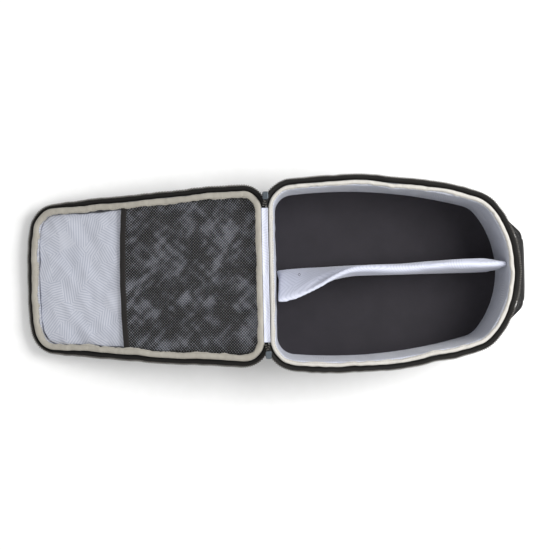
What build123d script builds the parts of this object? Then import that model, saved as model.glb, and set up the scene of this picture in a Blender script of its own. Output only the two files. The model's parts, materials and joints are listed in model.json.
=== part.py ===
"""Golf shoe bag: a clamshell bag lying on its back, wide open.

Row frame, millimetres: origin at the centre of the body's back panel, on its outer face, +Z up out of
the open body, +X towards the toe end, -X towards the hinge and the lid.
"""
import os
from math import asin, atan2, cos, degrees, hypot, radians, sin

from build123d import *

# ------------------------------------------------------------------ driving sizes: body
body_length = 338.0          # heel wall to toe wall, over the outer fabric
body_heel_width = 242.0      # across the heel end, before its corners are rounded
body_mid_width = 253.0       # across the widest part of the sides
body_corner_width = 200.0    # across the two toe corners
body_corner_set_back = 41.0  # from the toe wall's crown back to the toe corners
body_heel_radius = 36.0
body_toe_radius = 45.0
body_depth = 108.0           # table to rim

# ------------------------------------------------------------------ driving sizes: lid
lid_longer = 7.0             # how much further than the body the relaxed lid reaches
lid_heel_narrower = 4.0      # lid against body, at the heel end
lid_mid_narrower = 28.0      # lid against body, half way along
lid_corner_narrower = 6.0    # lid against body, at the toe corners
lid_corner_set_back = 7.0    # the lid's toe end is squarer than the body's
lid_heel_radius = 30.0
lid_toe_radius = 30.0
lid_depth = 20.0             # rim to the outside of the lid panel

# ------------------------------------------------------------------ wall build-up
outer_fabric = 1.6
wall_padding = 5.0
lid_padding = 3.0
lining = 1.0
back_padding = 4.4
lid_board_thickness = 4.0
piping_radius = 2.2
piping_tuck = 0.4            # how far the piping's centre sits inside the wall's outer face
panel_clearance = 0.4        # between a board and the piping's seam
binding_height = 4.0
body_binding_width = 7.4
lid_binding_width = 8.6
binding_set_in = 0.7         # binding edge, inside the wall's outer face

# ------------------------------------------------------------------ zipper
rim_gap = 8.0                # between the two rims when the lid is shut
tape_thickness = 0.8
tape_overlap = 8.0           # how far the tape is sewn down the outside of the wall
tape_flare = 5.6             # how far the free tape leans out past the wall
tape_rise = 3.4
teeth_radius = 1.5
slider_width = 8.0           # along X
slider_length = 11.0         # along Y
slider_height = 6.0
slider_place = 109.0         # half the distance between the two sliders
slider_set_in = 2.0          # from the hinge fold towards the body
slider_clearance = 0.6
pin_radius = 1.1
pin_drop = 2.4               # bail pin below the slider's body
pin_clearance = 0.08
bail_cheek = 0.9
pull_width = 5.4
pull_thickness = 1.6
pull_length = 22.0
eye_radius = 2.3
eye_width = 4.6

# ------------------------------------------------------------------ hinge
hinge_gap = 5.0              # from the fold line to either heel wall
hinge_half_length = 91.0
hinge_strip_thickness = 1.2
hinge_lining_thickness = 0.8
hinge_sag = 1.6

# ------------------------------------------------------------------ pocket
pocket_mouth = 212.0         # from the hinge fold to the pocket's open edge
elastic_width = 8.0
elastic_thickness = 2.0
mesh_thickness = 1.0

# ------------------------------------------------------------------ divider
divider_padding = 6.4
divider_cover = 1.2
divider_place = 4.0          # its floor seam, beside the bag's centre line
divider_below_rim = 8.0
divider_heel_lean = -43.0    # sideways reach of the top edge at the heel end
divider_toe_lean = 8.0
divider_bend = 0.30          # share of the length over which the heel end leans
divider_heel_clearance = 5.0
divider_toe_clearance = 4.0
divider_seam_gap = 1.8
flange_width = 30.0
flange_thickness = 0.8

# ------------------------------------------------------------------ handle
handle_height = 62.0         # its middle, above the table
handle_standoff = 20.0       # outer face, past the toe wall's crown
webbing_width = 26.0
webbing_end_width = 16.0
webbing_thickness = 3.0
grip_width = 30.0
grip_thickness = 3.6
grip_half_length = 44.0
anchor_clearance = 3.6       # between the webbing's end and the wall
anchor_gap = 3.4             # between the sewn tab and the free webbing, for the swing
anchor_pad = 26.0

# ------------------------------------------------------------------ worked out from the sizes
heel_x = -body_length / 2
toe_x = body_length / 2
piping_size = 2 * piping_radius
panel_inset = piping_tuck + piping_radius
floor_z = outer_fabric + back_padding + lining
padding_z = outer_fabric + back_padding
wall_inset = outer_fabric + wall_padding
lining_inset = wall_inset + lining
wall_top = body_depth - binding_height
lid_length = body_length + lid_longer

hinge_x = heel_x - hinge_gap
hinge_z = body_depth + rim_gap / 2
lid_rim = -rim_gap / 2                       # heights below are in the lid's own plane
lid_outside = lid_rim - lid_depth
lid_piping_z = lid_outside + piping_radius
lid_reach = hinge_gap + lid_length - piping_tuck
lid_lean = degrees(asin((hinge_z - piping_radius) / hypot(lid_reach, lid_piping_z))
                   - atan2(-lid_piping_z, lid_reach))
lid_plane = Plane(
    origin=(hinge_x, 0, hinge_z),
    x_dir=(-cos(radians(lid_lean)), 0, -sin(radians(lid_lean))),
    z_dir=(-sin(radians(lid_lean)), 0, cos(radians(lid_lean))),
)
lid_wall_bottom = lid_outside + piping_size
lid_board_bottom = lid_outside + outer_fabric
lid_lining_bottom = lid_board_bottom + lid_board_thickness
lid_lining_top = lid_lining_bottom + lining
lid_wall_top = lid_rim - binding_height
lid_wall_inset = outer_fabric + lid_padding
lid_lining_inset = lid_wall_inset + lining

os.makedirs("parts", exist_ok=True)


def save(piece, name):
    piece.part.label = name
    export_step(piece.part, f"parts/{name}.step")


# ------------------------------------------------------------------ plan outlines
def plan(start, length, heel, middle, corner, set_back, heel_radius, toe_radius, inset):
    """A plan outline: straight heel edge, bowed sides, crowned toe edge, four rounded corners."""
    corner_x = start + length - set_back
    with BuildSketch() as outline:
        with BuildLine():
            Line((start, heel / 2), (start, -heel / 2))
            ThreePointArc((start, -heel / 2), (start + length * 0.45, -middle / 2), (corner_x, -corner / 2))
            ThreePointArc((corner_x, -corner / 2), (start + length, 0), (corner_x, corner / 2))
            ThreePointArc((corner_x, corner / 2), (start + length * 0.45, middle / 2), (start, heel / 2))
        make_face()
        ends = outline.vertices().group_by(Axis.X)
        fillet(ends[-1], toe_radius)
        fillet(outline.vertices().group_by(Axis.X)[0], heel_radius)
        if inset:
            offset(amount=-inset)
    return outline.sketch


def body_plan(inset=0.0):
    return plan(heel_x, body_length, body_heel_width, body_mid_width, body_corner_width,
                body_corner_set_back, body_heel_radius, body_toe_radius, inset)


def lid_plan(inset=0.0):
    return plan(hinge_gap, lid_length, body_heel_width - lid_heel_narrower,
                body_mid_width - lid_mid_narrower, body_corner_width - lid_corner_narrower,
                lid_corner_set_back, lid_heel_radius, lid_toe_radius, inset)


def sheet_of(base, outline, thickness):
    """A flat piece of the given outline, lying on the base plane."""
    with BuildPart() as piece:
        with BuildSketch(base):
            add(outline)
        extrude(amount=thickness)
    return piece


def wall_of(base, outer, inner, height):
    """An upright wall between two outlines, standing on the base plane."""
    with BuildPart() as piece:
        with BuildSketch(base):
            add(outer)
            add(inner, mode=Mode.SUBTRACT)
        extrude(amount=height)
    return piece


def section_plane(path):
    """The plane across a closed path's start: x outwards, y up."""
    tangent = path % 0
    return Plane(origin=path @ 0, x_dir=tangent.cross(Vector(0, 0, 1)), z_dir=-tangent)


def ccw_wire(outline):
    return outline.faces()[0].outer_wire()


def placed(piece, plane):
    """A piece modelled on the XY plane, carried to where that plane belongs."""
    with BuildPart() as moved:
        add(plane.location * piece.part)
    return moved


body_outer = body_plan()
lid_outer = lid_plan()
body_edge = ccw_wire(body_outer)
lid_edge = ccw_wire(lid_outer)


# ------------------------------------------------------------------ body: back and floor
back_panel = sheet_of(Plane.XY, body_plan(panel_inset), outer_fabric)
save(back_panel, "back_panel")

back_board = sheet_of(Plane.XY.offset(outer_fabric), body_plan(panel_inset + panel_clearance), back_padding)
save(back_board, "back_board")

floor_lining = sheet_of(Plane.XY.offset(padding_z), body_plan(wall_inset), lining)
save(floor_lining, "floor_lining")


def piping_round(edge, height):
    """A cord sewn into the seam that runs round a panel's edge."""
    path = edge.moved(Location((0, 0, height)))
    with BuildPart() as piece:
        with BuildSketch(section_plane(path)):
            with Locations((-piping_tuck, 0)):
                Circle(piping_radius)
        sweep(path=path)
    return piece


back_piping = piping_round(body_edge, piping_radius)
save(back_piping, "back_piping")

# ------------------------------------------------------------------ body: walls
# The outer fabric is a heel panel and one long gusset; the padding behind it is four panels.
heel_cut = heel_x + body_heel_radius + 4
toe_cut = toe_x - body_corner_set_back - body_toe_radius * 0.6


def region(low_x, high_x, low_y, high_y, low_z, high_z):
    """A plain block of space between the given limits, to keep or to cut."""
    with BuildPart() as block:
        with BuildSketch(Plane.XY.offset(low_z)):
            with Locations(((low_x + high_x) / 2, (low_y + high_y) / 2)):
                Rectangle(high_x - low_x, high_y - low_y)
        extrude(amount=high_z - low_z)
    return block.part


def kept(piece, block):
    """The stretch of a piece that lies inside the block."""
    with BuildPart() as stretch:
        add(piece.part)
        add(block, mode=Mode.INTERSECT)
    return stretch


def without(piece, block):
    """A piece with the block cut away."""
    with BuildPart() as rest:
        add(piece.part)
        add(block, mode=Mode.SUBTRACT)
    return rest


far = body_length
outer_wall = wall_of(Plane.XY.offset(piping_size), body_outer, body_plan(outer_fabric), wall_top - piping_size)
heel_block = region(heel_x - far, heel_cut, -far, far, -far, far)
save(kept(outer_wall, heel_block), "heel_wall")
save(without(outer_wall, heel_block), "side_gusset")

padding_ring = wall_of(Plane.XY.offset(padding_z), body_plan(outer_fabric), body_plan(wall_inset),
                       wall_top - padding_z)
save(kept(padding_ring, heel_block), "padding_heel")
save(kept(padding_ring, region(heel_cut, toe_cut, 0, far, -far, far)), "padding_left")
save(kept(padding_ring, region(heel_cut, toe_cut, -far, 0, -far, far)), "padding_right")
save(kept(padding_ring, region(toe_cut, far, -far, far, -far, far)), "padding_toe")

wall_lining = wall_of(Plane.XY.offset(floor_z), body_plan(wall_inset), body_plan(lining_inset),
                      wall_top - floor_z)
save(wall_lining, "wall_lining")


def binding_round(edge, base, width, height):
    """Folded tape over a wall's raw top edge, its upper corners rounded."""
    path = edge.moved(Location((0, 0, base)))
    with BuildPart() as piece:
        with BuildSketch(section_plane(path)) as section:
            with Locations((-binding_set_in - width / 2, height / 2)):
                Rectangle(width, height)
            fillet(section.vertices().group_by(Axis.Y)[-1], height * 0.45)
        sweep(path=path)
    return piece


rim_binding = binding_round(body_edge, wall_top, body_binding_width, binding_height)
save(rim_binding, "rim_binding")


# ------------------------------------------------------------------ zipper tapes and teeth
def tape_round(edge, top):
    """Zipper tape sewn down the outside of a wall, its free edge leaning out."""
    path = edge.moved(Location((0, 0, top)))
    with BuildPart() as piece:
        with BuildSketch(section_plane(path)):
            with BuildLine():
                Polyline((0, -tape_overlap), (tape_thickness, -tape_overlap),
                         (tape_thickness, -tape_thickness), (tape_flare, tape_rise - tape_thickness),
                         (tape_flare, tape_rise), (0, 0), close=True)
            make_face()
        sweep(path=path)
    return piece


def teeth_round(edge, top):
    """The row of teeth along the tape's free edge, as one closed bead."""
    path = edge.moved(Location((0, 0, top)))
    with BuildPart() as piece:
        with BuildSketch(section_plane(path)):
            with Locations((tape_flare + teeth_radius, tape_rise - tape_thickness / 2)):
                Circle(teeth_radius)
        sweep(path=path)
    return piece


# Both tapes stop short of the slider, which stands in the notch between the two heel corners.
slider_x = hinge_x + slider_set_in
tape_end_x = slider_x + slider_width / 2 + slider_clearance
tape_stop = region(heel_x - far, tape_end_x, -far, far, -far, far)
body_zip_tape = without(tape_round(body_edge, wall_top), tape_stop)
save(body_zip_tape, "body_zip_tape")
body_zip_teeth = without(teeth_round(body_edge, wall_top), tape_stop)
save(body_zip_teeth, "body_zip_teeth")

# ------------------------------------------------------------------ sliders and pulls
for side, name in ((1, "left"), (-1, "right")):
    slider_y = side * slider_place
    pin_z = hinge_z - slider_height / 2 - pin_drop
    eye_half = eye_width / 2
    with BuildPart() as slider:
        with BuildSketch(Plane.XY.offset(hinge_z - slider_height / 2)):
            with Locations((slider_x, slider_y)):
                RectangleRounded(slider_width, slider_length, slider_width * 0.3)
        extrude(amount=slider_height)
        fillet(slider.edges().group_by(Axis.Z)[-1], slider_height * 0.15)
        for cheek in (-1, 1):
            cheek_x = slider_x + cheek * (eye_half + pin_clearance * 2 + bail_cheek / 2)
            with BuildSketch(Plane.YZ.offset(cheek_x - bail_cheek / 2)):
                with Locations((slider_y, pin_z)):
                    Circle(eye_radius)
                with Locations((slider_y, pin_z + pin_drop / 2)):
                    Rectangle(2 * eye_radius, pin_drop)
            extrude(amount=bail_cheek)
        with BuildSketch(Plane.YZ.offset(slider_x - eye_half - bail_cheek)):
            with Locations((slider_y, pin_z)):
                Circle(pin_radius)
        extrude(amount=eye_width + 2 * bail_cheek)
    save(slider, f"slider_{name}")

    with BuildPart() as pull:
        with BuildSketch(Plane.YZ.offset(slider_x - eye_half)):
            with Locations((slider_y, pin_z)):
                Circle(eye_radius)
        extrude(amount=eye_width)
        with BuildSketch(Plane.XZ.offset(-slider_y - pull_thickness / 2)):
            with Locations((slider_x, pin_z - eye_radius)):
                Rectangle(eye_width, 2 * eye_radius)
            with Locations((slider_x, pin_z - eye_radius - pin_clearance - pull_length / 2)):
                RectangleRounded(pull_width, pull_length, pull_width * 0.3)
        extrude(amount=pull_thickness)
        with BuildSketch(Plane.YZ.offset(slider_x - eye_width)):
            with Locations((slider_y, pin_z)):
                Circle(pin_radius + pin_clearance)
        extrude(amount=2 * eye_width, mode=Mode.SUBTRACT)
    save(pull, f"pull_{name}")


# ------------------------------------------------------------------ hinge
# In the row frame the fold hangs between the tops of the two heel walls.
def lid_point(along, height):
    """A place in the lid's own plane, as X and Z of the row frame."""
    spot = lid_plane.from_local_coords((along, 0, height))
    return spot.X, spot.Z


def fold(start, end, sag, thickness):
    """A strip of cloth hung between two lines that run along Y."""
    middle = ((start[0] + end[0]) / 2, (start[1] + end[1]) / 2 - sag)
    with BuildPart() as piece:
        with BuildSketch(Plane.XZ.offset(-hinge_half_length)):
            with BuildLine():
                ThreePointArc(start, middle, end)
                Line(end, (end[0], end[1] - thickness))
                ThreePointArc((end[0], end[1] - thickness), (middle[0], middle[1] - thickness),
                              (start[0], start[1] - thickness))
                Line((start[0], start[1] - thickness), start)
            make_face()
        extrude(amount=2 * hinge_half_length)
    return piece


lid_edge_x, lid_edge_z = lid_point(hinge_gap, lid_rim - binding_height / 2)
fold_margin = 0.3
hinge_lining = fold((heel_x - fold_margin, wall_top + 2.4), (lid_edge_x + fold_margin, lid_edge_z + 1.2),
                    hinge_sag, hinge_lining_thickness)
save(hinge_lining, "hinge_lining")
hinge_strip = fold((heel_x - fold_margin, wall_top + 1.2), (lid_edge_x + fold_margin, lid_edge_z),
                   hinge_sag, hinge_strip_thickness)
save(hinge_strip, "hinge_strip")

# ------------------------------------------------------------------ lid
lid_panel = sheet_of(lid_plane.offset(lid_outside), lid_plan(panel_inset), outer_fabric)
save(lid_panel, "lid_panel")

lid_board = sheet_of(lid_plane.offset(lid_board_bottom), lid_plan(panel_inset + panel_clearance),
                     lid_board_thickness)
save(lid_board, "lid_board")

lid_lining = sheet_of(lid_plane.offset(lid_lining_bottom), lid_plan(lid_wall_inset), lining)
save(lid_lining, "lid_lining")

lid_piping = placed(piping_round(lid_edge, lid_piping_z), lid_plane)
save(lid_piping, "lid_piping")

lid_band = wall_of(lid_plane.offset(lid_wall_bottom), lid_outer, lid_plan(outer_fabric),
                   lid_wall_top - lid_wall_bottom)
save(lid_band, "lid_band")

lid_padding_ring = wall_of(Plane.XY.offset(lid_lining_bottom), lid_plan(outer_fabric),
                           lid_plan(lid_wall_inset), lid_wall_top - lid_lining_bottom)
lid_heel_cut = hinge_gap + lid_heel_radius + 4
lid_toe_cut = hinge_gap + lid_length - lid_toe_radius - 4
lid_stretches = {
    "lid_padding_heel": region(-far, lid_heel_cut, -far, far, -far, far),
    "lid_padding_left": region(lid_heel_cut, lid_toe_cut, -far, 0, -far, far),
    "lid_padding_right": region(lid_heel_cut, lid_toe_cut, 0, far, -far, far),
    "lid_padding_toe": region(lid_toe_cut, 2 * far, -far, far, -far, far),
}
for name, block in lid_stretches.items():
    save(placed(kept(lid_padding_ring, block), lid_plane), name)

lid_wall_lining = wall_of(lid_plane.offset(lid_lining_top), lid_plan(lid_wall_inset),
                          lid_plan(lid_lining_inset), lid_wall_top - lid_lining_top)
save(lid_wall_lining, "lid_wall_lining")

lid_binding = placed(binding_round(lid_edge, lid_wall_top, lid_binding_width, binding_height), lid_plane)
save(lid_binding, "lid_binding")

lid_tape_stop = region(-far, slider_width + slider_clearance, -far, far, -far, far)
lid_zip_tape = placed(without(tape_round(lid_edge, lid_wall_top), lid_tape_stop), lid_plane)
save(lid_zip_tape, "lid_zip_tape")
lid_zip_teeth = placed(without(teeth_round(lid_edge, lid_wall_top), lid_tape_stop), lid_plane)
save(lid_zip_teeth, "lid_zip_teeth")

# ------------------------------------------------------------------ lid: mesh pocket
# The mesh hangs from the underside of the lid's binding and ends in an elastic band across the lid.
mesh_room = lid_plan(lid_lining_inset)
mesh_flat = sheet_of(Plane.XY.offset(lid_wall_top - mesh_thickness), mesh_room, mesh_thickness)
mesh_pocket = placed(kept(mesh_flat, region(-far, pocket_mouth - elastic_width, -far, far, -far, far)),
                     lid_plane)
save(mesh_pocket, "mesh_pocket")

elastic_flat = sheet_of(Plane.XY.offset(lid_wall_top - elastic_thickness), mesh_room, elastic_thickness)
pocket_elastic = placed(
    kept(elastic_flat, region(pocket_mouth - elastic_width, pocket_mouth, -far, far, -far, far)), lid_plane)
save(pocket_elastic, "pocket_elastic")

# ------------------------------------------------------------------ divider
flange_length = body_length - 2 * (lining_inset + divider_heel_clearance)
flange_z = floor_z + flange_thickness
with BuildPart() as divider_flange:
    with BuildSketch(Plane.XY.offset(floor_z)):
        with Locations((0, divider_place)):
            Rectangle(flange_length, flange_width)
    extrude(amount=flange_thickness)
save(divider_flange, "divider_flange")

divider_bottom = flange_z + divider_seam_gap
divider_top = body_depth - divider_below_rim
divider_heel_x = heel_x + lining_inset + divider_heel_clearance
divider_toe_x = toe_x - lining_inset - divider_toe_clearance
divider_length = divider_toe_x - divider_heel_x
divider_stations = [
    (divider_heel_x, divider_heel_lean),
    (divider_heel_x + divider_length * divider_bend / 2, divider_heel_lean * 0.36),
    (divider_heel_x + divider_length * divider_bend, 0),
    (divider_toe_x, divider_toe_lean),
]


def upright_slab(thickness, shorter):
    """A padded slab on the floor seam, its top edge leaning by the amount of each station."""
    with BuildPart() as piece:
        for place, (station, lean) in enumerate(divider_stations):
            inward = shorter * ((place == 0) - (place == len(divider_stations) - 1))
            half = thickness / 2
            with BuildSketch(Plane.YZ.offset(station + inward)) as section:
                with BuildLine():
                    Polyline(
                        (divider_place - half, divider_bottom),
                        (divider_place + half, divider_bottom),
                        (divider_place + lean + half, divider_top - shorter),
                        (divider_place + lean - half, divider_top - shorter),
                        close=True,
                    )
                make_face()
                fillet(section.vertices().group_by(Axis.Y)[-1], half * 0.7)
        loft(ruled=True)
    return piece


divider_foam = upright_slab(divider_padding, divider_cover)
save(divider_foam, "divider_foam")
divider_fabric = without(upright_slab(divider_padding + 2 * divider_cover, 0), divider_foam.part)
save(divider_fabric, "divider_cover")

# ------------------------------------------------------------------ handle
# The webbing leaves each toe corner along its 45 degree tangent and runs straight across the toe end.
corner_arc = body_outer.edges().filter_by(GeomType.CIRCLE).sort_by(Axis.X)[-3:].sort_by(Axis.Y)[-1]
slant = sin(radians(45))
corner_spot = Vector(
    corner_arc.arc_center.X + corner_arc.radius * slant, corner_arc.arc_center.Y + corner_arc.radius * slant
)
wall_out = Vector(slant, slant)
along_strap = Vector(slant, -slant)
strap_start = corner_spot + wall_out * (anchor_clearance + webbing_thickness / 2) + along_strap * (anchor_pad / 2 + anchor_gap)
strap_reach = toe_x + handle_standoff - grip_thickness - webbing_thickness / 2
strap_run = (strap_reach - strap_start.X) / slant
strap_corner = strap_start + along_strap * strap_run


def strap_line(first):
    """The strap's middle line, seen from above, from the left anchor to the right one."""
    return [(first.X, first.Y), (strap_corner.X, strap_corner.Y), (strap_corner.X, -strap_corner.Y),
            (first.X, -first.Y)]


with BuildPart() as handle_webbing:
    with BuildSketch(Plane.XY.offset(handle_height - webbing_width / 2)) as strap_plan:
        with BuildLine() as strap_path:
            FilletPolyline(*strap_line(strap_start), radius=14)
        trace(line_width=webbing_thickness)
    extrude(amount=webbing_width)
    taper = (webbing_width - webbing_end_width) / 2
    with BuildSketch(Plane.XZ.offset(-far)):
        for edge_z, rise in ((handle_height + webbing_width / 2, -taper),
                             (handle_height - webbing_width / 2, taper)):
            with BuildLine():
                Polyline((strap_start.X - 10, edge_z), (strap_corner.X - 8, edge_z),
                         (strap_start.X, edge_z + rise), (strap_start.X - 10, edge_z + rise), close=True)
            make_face()
    extrude(amount=2 * far, mode=Mode.SUBTRACT)
save(handle_webbing, "handle_webbing")

with BuildPart() as handle_grip:
    with BuildSketch(Plane.YZ.offset(strap_reach + webbing_thickness / 2)):
        with Locations((0, handle_height)):
            RectangleRounded(2 * grip_half_length, grip_width, grip_width * 0.25)
    extrude(amount=grip_thickness)
    fillet(handle_grip.edges().group_by(Axis.X)[-1], grip_thickness * 0.5)
save(handle_grip, "handle_grip")

for side, name in ((1, "left"), (-1, "right")):
    tab_plane = Plane(
        origin=(corner_spot.X, side * corner_spot.Y, handle_height),
        x_dir=(slant, -side * slant, 0),
        z_dir=(slant, side * slant, 0),
    )
    with BuildPart() as anchor:
        with BuildSketch(tab_plane):
            Rectangle(anchor_pad, webbing_width)
        extrude(amount=anchor_clearance + webbing_thickness)
        add(outer_wall.part, mode=Mode.SUBTRACT)
    save(anchor, f"handle_anchor_{name}")

print(f"lid lean {lid_lean:.2f} degrees, hinge at X {hinge_x:.1f} Z {hinge_z:.1f}")
print(f"divider from X {divider_heel_x:.1f} to {divider_toe_x:.1f}, seam at Z {divider_bottom:.1f}")
print(f"handle pivots at X {strap_start.X:.1f}, Y {strap_start.Y:.1f}, Z {handle_height:.1f}")
print(f"pull pins at X {slider_x:.1f}, Y {slider_place:.1f}, Z {hinge_z - slider_height / 2 - pin_drop:.1f}")
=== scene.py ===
import json
from math import atan2, ceil, cos, floor, pi, radians, sin

import bmesh
import bpy
from mathutils import Matrix, Vector, noise
from mathutils.bvhtree import BVHTree

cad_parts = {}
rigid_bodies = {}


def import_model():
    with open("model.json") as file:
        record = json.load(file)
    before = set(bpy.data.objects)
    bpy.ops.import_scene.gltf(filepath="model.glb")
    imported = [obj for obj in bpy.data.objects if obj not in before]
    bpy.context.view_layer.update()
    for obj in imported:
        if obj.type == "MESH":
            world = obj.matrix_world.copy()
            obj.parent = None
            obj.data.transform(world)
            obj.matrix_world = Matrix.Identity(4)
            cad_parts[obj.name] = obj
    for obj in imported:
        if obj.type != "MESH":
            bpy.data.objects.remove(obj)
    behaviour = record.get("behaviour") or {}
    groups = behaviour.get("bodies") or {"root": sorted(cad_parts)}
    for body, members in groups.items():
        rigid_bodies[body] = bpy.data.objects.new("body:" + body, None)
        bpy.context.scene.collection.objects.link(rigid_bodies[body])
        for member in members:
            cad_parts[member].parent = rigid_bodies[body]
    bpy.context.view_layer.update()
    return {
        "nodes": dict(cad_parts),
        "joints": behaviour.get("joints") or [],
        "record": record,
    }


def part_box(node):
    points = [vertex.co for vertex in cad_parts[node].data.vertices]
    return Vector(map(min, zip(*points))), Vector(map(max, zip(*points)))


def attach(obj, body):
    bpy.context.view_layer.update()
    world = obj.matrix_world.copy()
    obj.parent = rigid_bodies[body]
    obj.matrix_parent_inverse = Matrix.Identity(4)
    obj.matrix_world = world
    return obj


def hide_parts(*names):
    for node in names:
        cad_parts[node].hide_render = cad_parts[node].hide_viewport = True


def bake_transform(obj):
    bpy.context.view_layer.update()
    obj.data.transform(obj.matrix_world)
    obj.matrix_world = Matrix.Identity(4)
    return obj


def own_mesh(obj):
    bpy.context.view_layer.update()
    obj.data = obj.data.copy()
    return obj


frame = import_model()
mm = 0.001


# Small helpers.

def linear(hexColour):
    # sRGB hex to the linear colour that a shader socket takes
    parts = [int(hexColour[i:i + 2], 16) / 255 for i in (1, 3, 5)]
    return [p / 12.92 if p <= 0.04045 else ((p + 0.055) / 1.055) ** 2.4 for p in parts] + [1.0]


def addNode(tree, kind, settings=None, links=None, **properties):
    node = tree.nodes.new(kind)
    for name, value in properties.items():
        setattr(node, name, value)
    for socket, value in (settings or {}).items():
        node.inputs[socket].default_value = value
    for socket, (source, output) in (links or {}).items():
        tree.links.new(source.outputs[output], node.inputs[socket])
    return node


def roundNoise(u, features, seed):
    # smooth noise from -1 to 1 that closes on itself once round an outline, u from 0 to 1
    radius = features / (2 * pi)
    return noise.noise(Vector((cos(2 * pi * u) * radius + seed, sin(2 * pi * u) * radius, seed * 1.7)))


def smooth(t):
    t = min(max(t, 0.0), 1.0)
    return t * t * (3 - 2 * t)


def heelness(u):
    # 1 along the hinge end of an outline and round its two corners, 0 elsewhere
    return smooth(1.25 - (0.5 - abs(0.5 - u)) / 0.13)


def layFlat(bm, uvAt):
    # a map of the cloth, in metres, from each point's own place
    uvLayer = bm.loops.layers.uv.active or bm.loops.layers.uv.new("UVMap")
    for loop in (loop for face in bm.faces for loop in face.loops):
        loop[uvLayer].uv = uvAt(loop.vert.co)


def wrapGrid(columns, rows, placeAt, uvAt):
    # a grid of faces carried to its place, point by point; a seam that meets itself is merged
    bm = bmesh.new()
    uvLayer = bm.loops.layers.uv.new("UVMap")
    bmesh.ops.create_grid(bm, x_segments=columns, y_segments=rows, size=0.5, calc_uvs=True)
    for loop in (loop for face in bm.faces for loop in face.loops):
        loop[uvLayer].uv = uvAt(loop.vert.co.x + 0.5, loop.vert.co.y + 0.5)
    for vert in bm.verts:
        vert.co = placeAt(vert.co.x + 0.5, vert.co.y + 0.5)
    bmesh.ops.remove_doubles(bm, verts=bm.verts, dist=0.002 * mm)
    return bm


def finishPiece(bm, name, material, body, nodes=(), place=None, recalc=True):
    if place:
        bmesh.ops.transform(bm, matrix=place, verts=bm.verts)
    if recalc:
        bmesh.ops.recalc_face_normals(bm, faces=bm.faces)
    mesh = bpy.data.meshes.new(name)
    bm.to_mesh(mesh)
    bm.free()
    piece = bpy.data.objects.new(name, mesh)
    bpy.context.scene.collection.objects.link(piece)
    mesh.materials.append(material)
    mesh.shade_smooth()
    if body:
        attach(piece, body)
    if nodes:
        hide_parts(*nodes)
    return piece


# Outlines, read from the frame. Each one runs anticlockwise round its wall's outer face, and starts in the
# middle of the heel edge.

lidHinge = next(joint for joint in frame["joints"] if joint["name"] == "lid_hinge")
hingeSpot = Vector(lidHinge["pos_m"])
lidLean = radians(lidHinge["range_deg"][1] - 180)
lidPlace = Matrix((
    (-cos(lidLean), 0, -sin(lidLean), hingeSpot.x),
    (0, -1, 0, hingeSpot.y),
    (-sin(lidLean), 0, cos(lidLean), hingeSpot.z),
    (0, 0, 0, 1),
))
flat = Matrix.Identity(4)


def spotsOf(node, place):
    back = place.inverted()
    return [back @ vert.co for vert in frame["nodes"][node].data.vertices]


def outlineOf(sheet, wall, place, count=960):
    spots = spotsOf(sheet, place)
    outset = min(p.x for p in spots) - min(p.x for p in spotsOf(wall, place))
    top = max(p.z for p in spots)
    rim = {(round(p.x, 6), round(p.y, 6)) for p in spots if p.z > top - 0.1 * mm}
    middle = Vector((sum(x for x, y in rim), sum(y for x, y in rim))) / len(rim)
    rim = [Vector(p) for p in sorted(rim, key=lambda p: atan2(p[1] - middle.y, p[0] - middle.x))]
    rim.insert(0, (rim[0] + rim[-1]) / 2)
    rim.append(rim[0])
    reach = [0.0]
    for a, b in zip(rim, rim[1:]):
        reach.append(reach[-1] + (b - a).length)
    inner, segment = [], 0
    for i in range(count):
        wanted = reach[-1] * i / count
        while reach[segment + 1] < wanted:
            segment += 1
        share = (wanted - reach[segment]) / (reach[segment + 1] - reach[segment])
        inner.append(rim[segment].lerp(rim[segment + 1], share))
    outs = []
    for i in range(count):
        along = inner[(i + 2) % count] - inner[i - 2]
        outs.append(Vector((along.y, -along.x)).normalized())
    spots = [p + out * outset for p, out in zip(inner, outs)]
    length = sum((spots[i] - spots[i - 1]).length for i in range(count))
    return {"spots": spots, "outs": outs, "length": length, "middle": Vector((middle.x, 0))}


def lineAt(line, u, out, up):
    # the place that is `out` past the wall's outer face and `up` high, u of the way round
    count = len(line["spots"])
    step = (u % 1.0) * count
    i = floor(step)
    spot = line["spots"][i % count].lerp(line["spots"][(i + 1) % count], step - i)
    away = line["outs"][i % count].lerp(line["outs"][(i + 1) % count], step - i)
    spot = spot + away * out
    return Vector((spot.x, spot.y, up))


bodyLine = outlineOf("floor_lining", "heel_wall", flat)
lidLine = outlineOf("lid_lining", "lid_band", lidPlace)
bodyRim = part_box("rim_binding")[1].z
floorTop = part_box("floor_lining")[1].z
lidHeights = {
    "rim": max(p.z for p in spotsOf("lid_binding", lidPlace)),
    "outside": min(p.z for p in spotsOf("lid_panel", lidPlace)),
    "lining": max(p.z for p in spotsOf("lid_lining", lidPlace)),
    "mesh": max(p.z for p in spotsOf("mesh_pocket", lidPlace)),
}
heelHalf = max(abs(p.y) for p in spotsOf("hinge_strip", flat))
print("outlines", round(bodyLine["length"], 4), round(lidLine["length"], 4))


def ringPiece(line, profile, columns, nudge=None):
    # a closed section carried round an outline; nudge moves a point by (out, up), in metres
    count = len(profile)
    walk = [0.0]
    for a, b in zip(profile, profile[1:] + profile[:1]):
        walk.append(walk[-1] + ((a[0] - b[0]) ** 2 + (a[1] - b[1]) ** 2) ** 0.5)

    def placeAt(u, v):
        out, up = profile[round(v * count) % count]
        if nudge:
            moreOut, moreUp = nudge(u % 1.0, out, up)
            out, up = out + moreOut, up + moreUp
        return lineAt(line, u, out, up)

    def uvAt(u, v):
        return u * line["length"], walk[round(v * count)]

    return wrapGrid(columns, count, placeAt, uvAt)


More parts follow.
